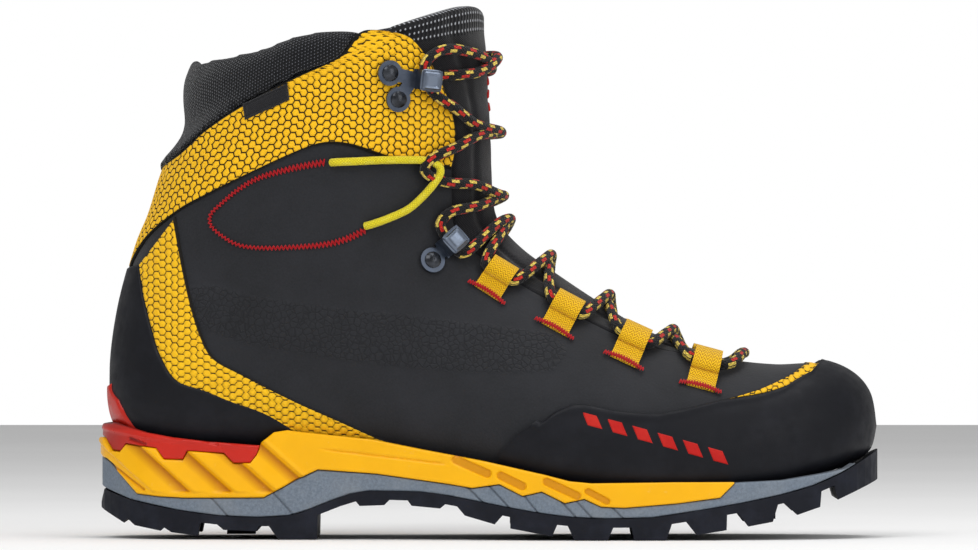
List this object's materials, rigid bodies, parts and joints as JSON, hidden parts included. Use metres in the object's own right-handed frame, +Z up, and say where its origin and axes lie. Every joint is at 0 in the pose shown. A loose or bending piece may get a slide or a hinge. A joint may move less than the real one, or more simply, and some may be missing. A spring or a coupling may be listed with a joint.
{
  "type": "mountaineering boot",
  "caption": "High laced mountaineering boot with a stiff lugged sole, crampon heel ledge, rubber toe rand, padded collar and a hinged ankle.",
  "frame": {"origin": "on the ground, at the centre of the flat tread face of the lug across the heel's front edge", "axes": "+X from heel to toe, +Y towards the inner (medial) side of the right foot, +Z up"},
  "size_m": [0.3033, 0.11, 0.2066],
  "materials": {
    "rubber_sole": "matt, moulded",
    "midsole_foam": "matt",
    "yellow_frame": "satin",
    "red_insert": "satin",
    "board": "matt",
    "shank_plastic": "satin",
    "nubuck": "nubuck",
    "lining": "soft weave",
    "stiffener": "matt",
    "rand": "smooth rubber",
    "honeycomb": "printed cells over dark mesh",
    "mesh": "knitted mesh",
    "foam": "soft foam",
    "webbing": "woven",
    "thread": "stitched",
    "gunmetal": "satin gunmetal",
    "rivet_steel": "dark, polished",
    "lace": "braided with light flecks",
    "cord": "round braided",
    "badge": "moulded",
    "tab": "woven",
    "footbed_foam": "soft foam",
    "footbed_top": "soft knit"
  },
  "bodies": {
    "foot": {"outsole": "rubber_sole", "midsole": "midsole_foam", "midsole_frame": "yellow_frame", "crampon_heel_insert": "red_insert", "shank": "shank_plastic", "lasting_board": "board", "upper_leather": "nubuck", "lining_boot": "lining", "heel_counter": "stiffener", "toe_puff": "stiffener", "toe_rand": "rand", "heel_rand": "rand", "toe_strip": "honeycomb", "heel_strap_lateral": "honeycomb", "heel_strap_medial": "honeycomb", "tongue_lower": "mesh", "gusset_lateral": "mesh", "gusset_medial": "mesh", "lace_loops_lateral": "webbing", "lace_loops_medial": "webbing", "loop_stitching_lateral": "thread", "loop_stitching_medial": "thread", "instep_hook_lateral": "gunmetal", "instep_hook_medial": "gunmetal", "instep_hook_rivets": "rivet_steel", "panel_stitching_lower": "thread", "lace_lower": "lace"},
    "cuff": {"cuff_panel_lateral": "nubuck", "cuff_panel_medial": "nubuck", "collar_guard_lateral": "honeycomb", "collar_guard_medial": "honeycomb", "collar_foam": "foam", "collar_mesh": "mesh", "lining_cuff": "lining", "ankle_pad_lateral": "foam", "ankle_pad_medial": "foam", "tongue_upper": "mesh", "tongue_badge": "badge", "cuff_hook_lateral": "gunmetal", "cuff_hook_medial": "gunmetal", "cuff_hook_rivets": "rivet_steel", "ankle_cord_lateral": "cord", "ankle_cord_medial": "cord", "panel_stitching_upper": "thread", "side_label": "tab", "lace_upper": "lace"},
    "tongue_tip": {"tongue_tip": "mesh"},
    "footbed": {"footbed": "footbed_foam", "footbed_cover": "footbed_top"}
  },
  "joints": [
    {"name": "cuff_flex", "type": "hinge", "parent": "foot", "child": "cuff", "pos_m": [0.005, 0, 0.123], "axis": [0, 1, 0], "range_deg": [-6, 10], "stiffness_Nm_per_rad": 4},
    {"name": "tongue_tip_fold", "type": "hinge", "parent": "cuff", "child": "tongue_tip", "pos_m": [0.0705, 0, 0.1955], "axis": [0, 1, 0], "range_deg": [0, 30]},
    {"name": "footbed_lift", "type": "hinge", "parent": "foot", "child": "footbed", "pos_m": [0.203, 0, 0.034], "axis": [0, 1, 0], "range_deg": [0, 8]}
  ]
}
